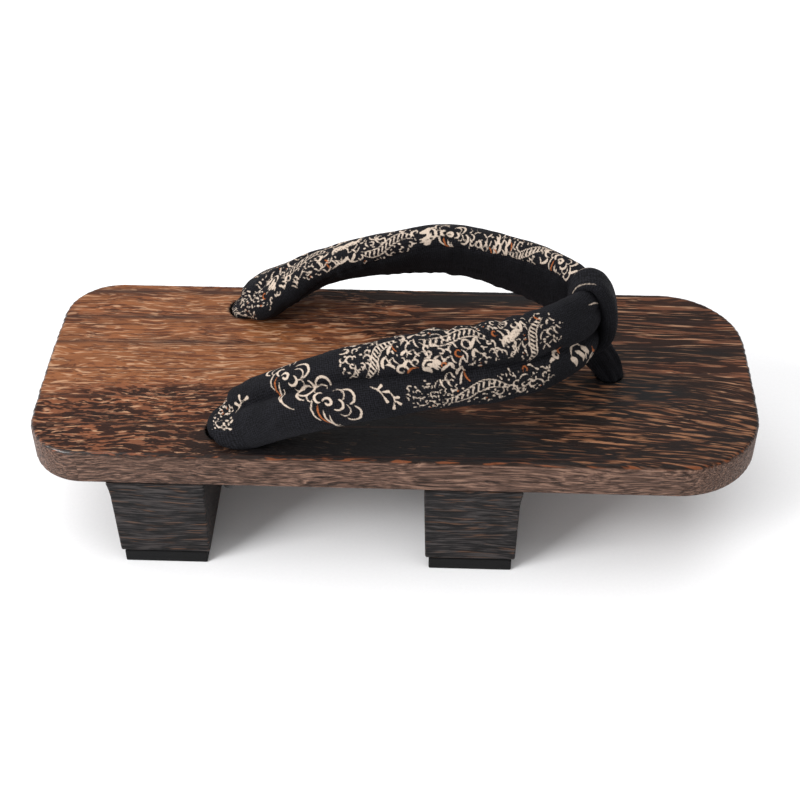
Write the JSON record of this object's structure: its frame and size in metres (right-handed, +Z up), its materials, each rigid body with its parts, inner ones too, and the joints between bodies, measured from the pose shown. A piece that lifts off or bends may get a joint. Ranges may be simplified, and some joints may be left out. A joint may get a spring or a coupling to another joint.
{
  "type": "geta sandal",
  "caption": "Geta: a round-cornered scorched wooden board on cross teeth with rubber tips, and a padded printed cloth strap in a V with a toe loop",
  "frame": {"origin": "on the floor, under the middle of the board", "axes": "+X runs along the board to the toes, +Y to the wearer's left, +Z up"},
  "size_m": [0.26, 0.1018, 0.0992],
  "materials": {
    "board_wood": "scorched and brushed, with a thin satin wax",
    "tooth_wood": "scorched nearly black, brushed",
    "tip_rubber": "matt black sheet rubber",
    "strap_cloth": "black cotton printed in cream and rust",
    "loop_cloth": "plain black cotton",
    "cord": "twisted black cord"
  },
  "bodies": {
    "root": {"board": "board_wood", "rear_tooth": "tooth_wood", "front_tooth": "tooth_wood", "rear_tip": "tip_rubber", "front_tip": "tip_rubber", "strap": "strap_cloth", "toe_loop": "loop_cloth", "knot_front": "cord", "knot_rear_left": "cord", "knot_rear_right": "cord"}
  },
  "joints": []
}
